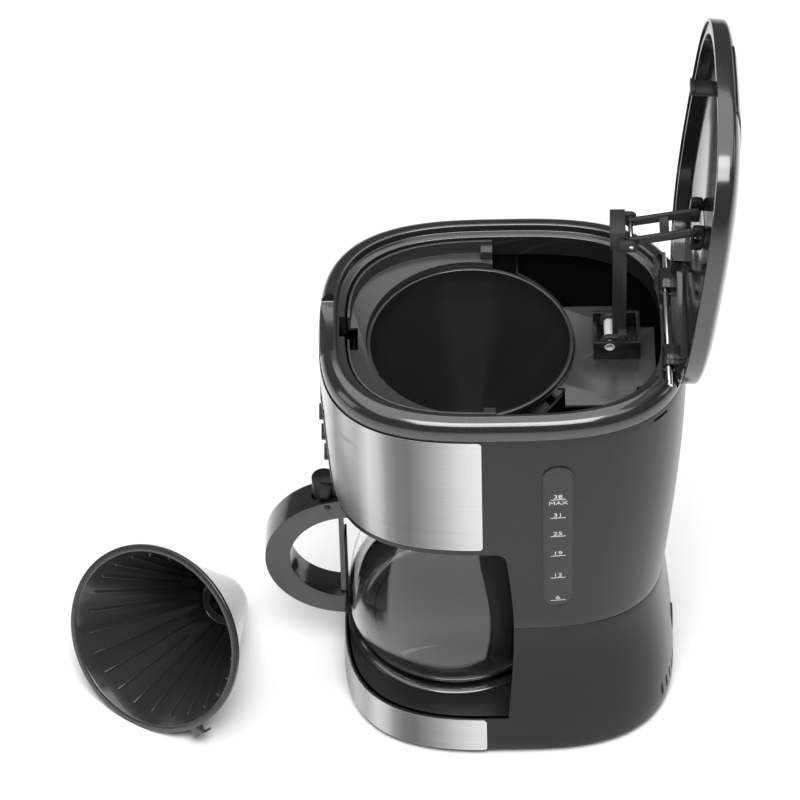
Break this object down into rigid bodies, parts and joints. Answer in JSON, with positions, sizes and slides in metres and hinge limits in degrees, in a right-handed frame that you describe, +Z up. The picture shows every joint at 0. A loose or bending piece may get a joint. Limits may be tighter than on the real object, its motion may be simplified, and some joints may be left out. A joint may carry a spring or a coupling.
{
  "type": "drip coffee maker",
  "caption": "Drip coffee maker with oval body, flip-up lid over funnel and water tank, swinging spray arm, glass jug on a hot plate, and a ribbed conical filter basket lying in front.",
  "frame": {"origin": "on the table, below the centre of the top rim", "axes": "+Z up, front (control panel and jug handle) towards -Y, water gauge on the +X side"},
  "size_m": [0.2028, 0.4573, 0.5566],
  "materials": {
    "housing": "gloss dark grey",
    "rim": "high gloss",
    "black": "satin black",
    "grey": "satin grey",
    "fascia": "gloss black",
    "steel": "brushed",
    "rod": "polished",
    "hotplate": "non-stick coating",
    "aluminium": "cast",
    "rubber": "matt",
    "silicone": "translucent",
    "board": "solder mask",
    "window": "smoked",
    "glass": "clear",
    "light": "satin light grey"
  },
  "bodies": {
    "machine": {"lower_housing": "housing", "upper_housing": "housing", "niche_liner": "black", "chamber_floor": "rim", "top_rim": "rim", "upper_steel_panel": "steel", "base_steel_band": "steel", "control_panel": "fascia", "display_window": "window", "gauge_window": "window", "water_tank": "black", "brew_deck": "grey", "brew_funnel": "black", "funnel_bridge": "grey", "arm_cradle": "black", "pivot_barrel": "light", "riser_pipe": "grey", "lid_hinge_rod": "rod", "base_plate": "black", "rubber_feet": "rubber", "base_screws": "rod", "hot_plate": "hotplate", "hot_plate_ring": "rim", "heater_tube": "aluminium", "thermostat": "light", "thermal_fuse": "light", "check_valve": "light", "inlet_hose": "silicone", "riser_hose": "silicone", "hose_clamps": "rod", "control_board": "board", "cord_gland": "rubber"},
    "lid": {"lid_shell": "housing", "lid_liner": "grey", "lid_plate": "housing", "lid_bracket": "black", "lid_pad": "light", "lid_catch": "black"},
    "arm": {"spray_arm": "grey", "spray_head": "grey", "link_pin": "rod"},
    "link": {"link_frame": "grey"},
    "jug": {"jug_glass": "glass", "jug_collar": "black", "jug_band": "rod", "jug_handle": "rim", "handle_strap": "black", "handle_screw": "rod", "lever_pin": "rod"},
    "jug_cover": {"jug_lid": "black", "thumb_lever": "black"},
    "basket": {"filter_basket": "rim"},
    "valve": {"basket_valve": "black"},
    "key_1": {"button_1": "black"},
    "key_2": {"button_2": "black"},
    "key_3": {"button_3": "black"},
    "key_4": {"button_4": "black"},
    "key_5": {"button_5": "black"},
    "key_6": {"button_6": "black"}
  },
  "joints": [
    {"name": "lid_hinge", "type": "hinge", "parent": "machine", "child": "lid", "pos_m": [0, 0.1085, 0.3285], "axis": [1, 0, 0], "range_deg": [0, 96.3]},
    {"name": "arm_swing", "type": "hinge", "parent": "machine", "child": "arm", "pos_m": [0, 0.0705, 0.318], "axis": [1, 0, 0], "range_deg": [0, 96.3]},
    {"name": "link_fold", "type": "hinge", "parent": "arm", "child": "link", "pos_m": [0, 0.084, 0.412], "axis": [1, 0, 0], "range_deg": [-95, 0]},
    {"name": "jug_slide", "type": "slide", "parent": "machine", "child": "jug", "axis": [-0.68, -0.7332, 0], "range_m": [0, 0.16]},
    {"name": "jug_lid_lift", "type": "hinge", "parent": "jug", "child": "jug_cover", "pos_m": [0, -0.1215, 0.1584], "axis": [1, 0, 0], "range_deg": [0, 6]},
    {"name": "basket_lift", "type": "slide", "parent": "machine", "child": "basket", "axis": [0, 0, 1], "range_m": [0, 0.12]},
    {"name": "valve_lift", "type": "slide", "parent": "basket", "child": "valve", "axis": [0.747, -0.4851, 0.4546], "range_m": [0, 0.003], "stiffness_N_per_m": 200, "springref_m": -0.002},
    {"name": "key_1_press", "type": "slide", "parent": "machine", "child": "key_1", "axis": [0, 1, 0], "range_m": [0, 0.0012], "stiffness_N_per_m": 600, "springref_m": -0.001},
    {"name": "key_2_press", "type": "slide", "parent": "machine", "child": "key_2", "axis": [0, 1, 0], "range_m": [0, 0.0012], "stiffness_N_per_m": 600, "springref_m": -0.001},
    {"name": "key_3_press", "type": "slide", "parent": "machine", "child": "key_3", "axis": [0, 1, 0], "range_m": [0, 0.0012], "stiffness_N_per_m": 600, "springref_m": -0.001},
    {"name": "key_4_press", "type": "slide", "parent": "machine", "child": "key_4", "axis": [0, 1, 0], "range_m": [0, 0.0012], "stiffness_N_per_m": 600, "springref_m": -0.001},
    {"name": "key_5_press", "type": "slide", "parent": "machine", "child": "key_5", "axis": [0, 1, 0], "range_m": [0, 0.0012], "stiffness_N_per_m": 600, "springref_m": -0.001},
    {"name": "key_6_press", "type": "slide", "parent": "machine", "child": "key_6", "axis": [0, 1, 0], "range_m": [0, 0.0012], "stiffness_N_per_m": 600, "springref_m": -0.001}
  ],
  "couplings": [
    {"joint": "arm_swing", "follows": "lid_hinge", "ratio": 0.985},
    {"joint": "link_fold", "follows": "lid_hinge", "ratio": -0.91}
  ]
}
